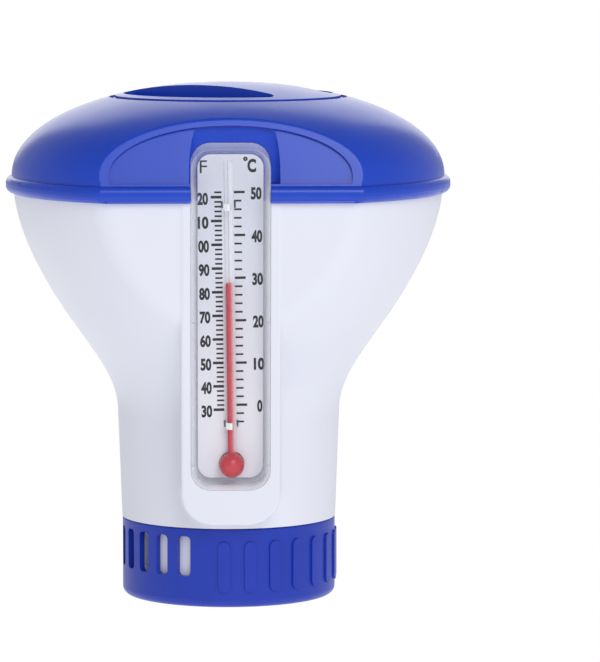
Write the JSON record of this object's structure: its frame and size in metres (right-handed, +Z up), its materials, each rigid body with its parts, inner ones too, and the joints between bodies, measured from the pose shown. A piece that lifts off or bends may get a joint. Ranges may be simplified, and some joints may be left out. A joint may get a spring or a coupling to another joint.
{
  "type": "floating pool thermometer",
  "caption": "Mushroom-shaped pool float with a spirit thermometer on its front, a domed cap, and a slotted vent cup that turns round a windowed tablet cage.",
  "frame": {"origin": "centre of the base face, on the collar's axis", "axes": "+Z up along the collar's axis, -Y towards the thermometer's front, +X to the right of a viewer who faces it"},
  "size_m": [0.102, 0.094, 0.118],
  "materials": {
    "blue_plastic": "satin-gloss moulded plastic",
    "collar_blue_plastic": "satin moulded plastic",
    "white_plastic": "satin moulded plastic",
    "seal_rubber": "matt",
    "clear_plastic": "clear moulded plastic, polished",
    "printed_card": "printed card",
    "thermometer_glass": "drawn glass",
    "red_spirit": "dyed spirit",
    "clip_white": "moulded plastic"
  },
  "bodies": {
    "float": {"top_cap": "blue_plastic", "cap_seal": "seal_rubber", "hopper_shell": "white_plastic", "bulkhead": "white_plastic", "bulkhead_seal": "seal_rubber", "lens_case": "clear_plastic", "case_back": "clear_plastic", "scale_card": "printed_card", "glass_tube": "thermometer_glass", "spirit_column": "red_spirit", "tube_clip_upper": "clip_white", "tube_clip_lower": "clip_white"},
    "cage": {"tablet_cage": "white_plastic"},
    "cup": {"vent_cup": "collar_blue_plastic", "centre_rivet": "clip_white"}
  },
  "joints": [
    {"name": "cage_pull", "type": "slide", "parent": "float", "child": "cage", "axis": [0, 0, -1], "range_m": [0, 0.04]},
    {"name": "vent_turn", "type": "hinge", "parent": "cage", "child": "cup", "pos_m": [0, 0, 0], "axis": [0, 0, 1], "range_deg": [-28, 117]}
  ]
}
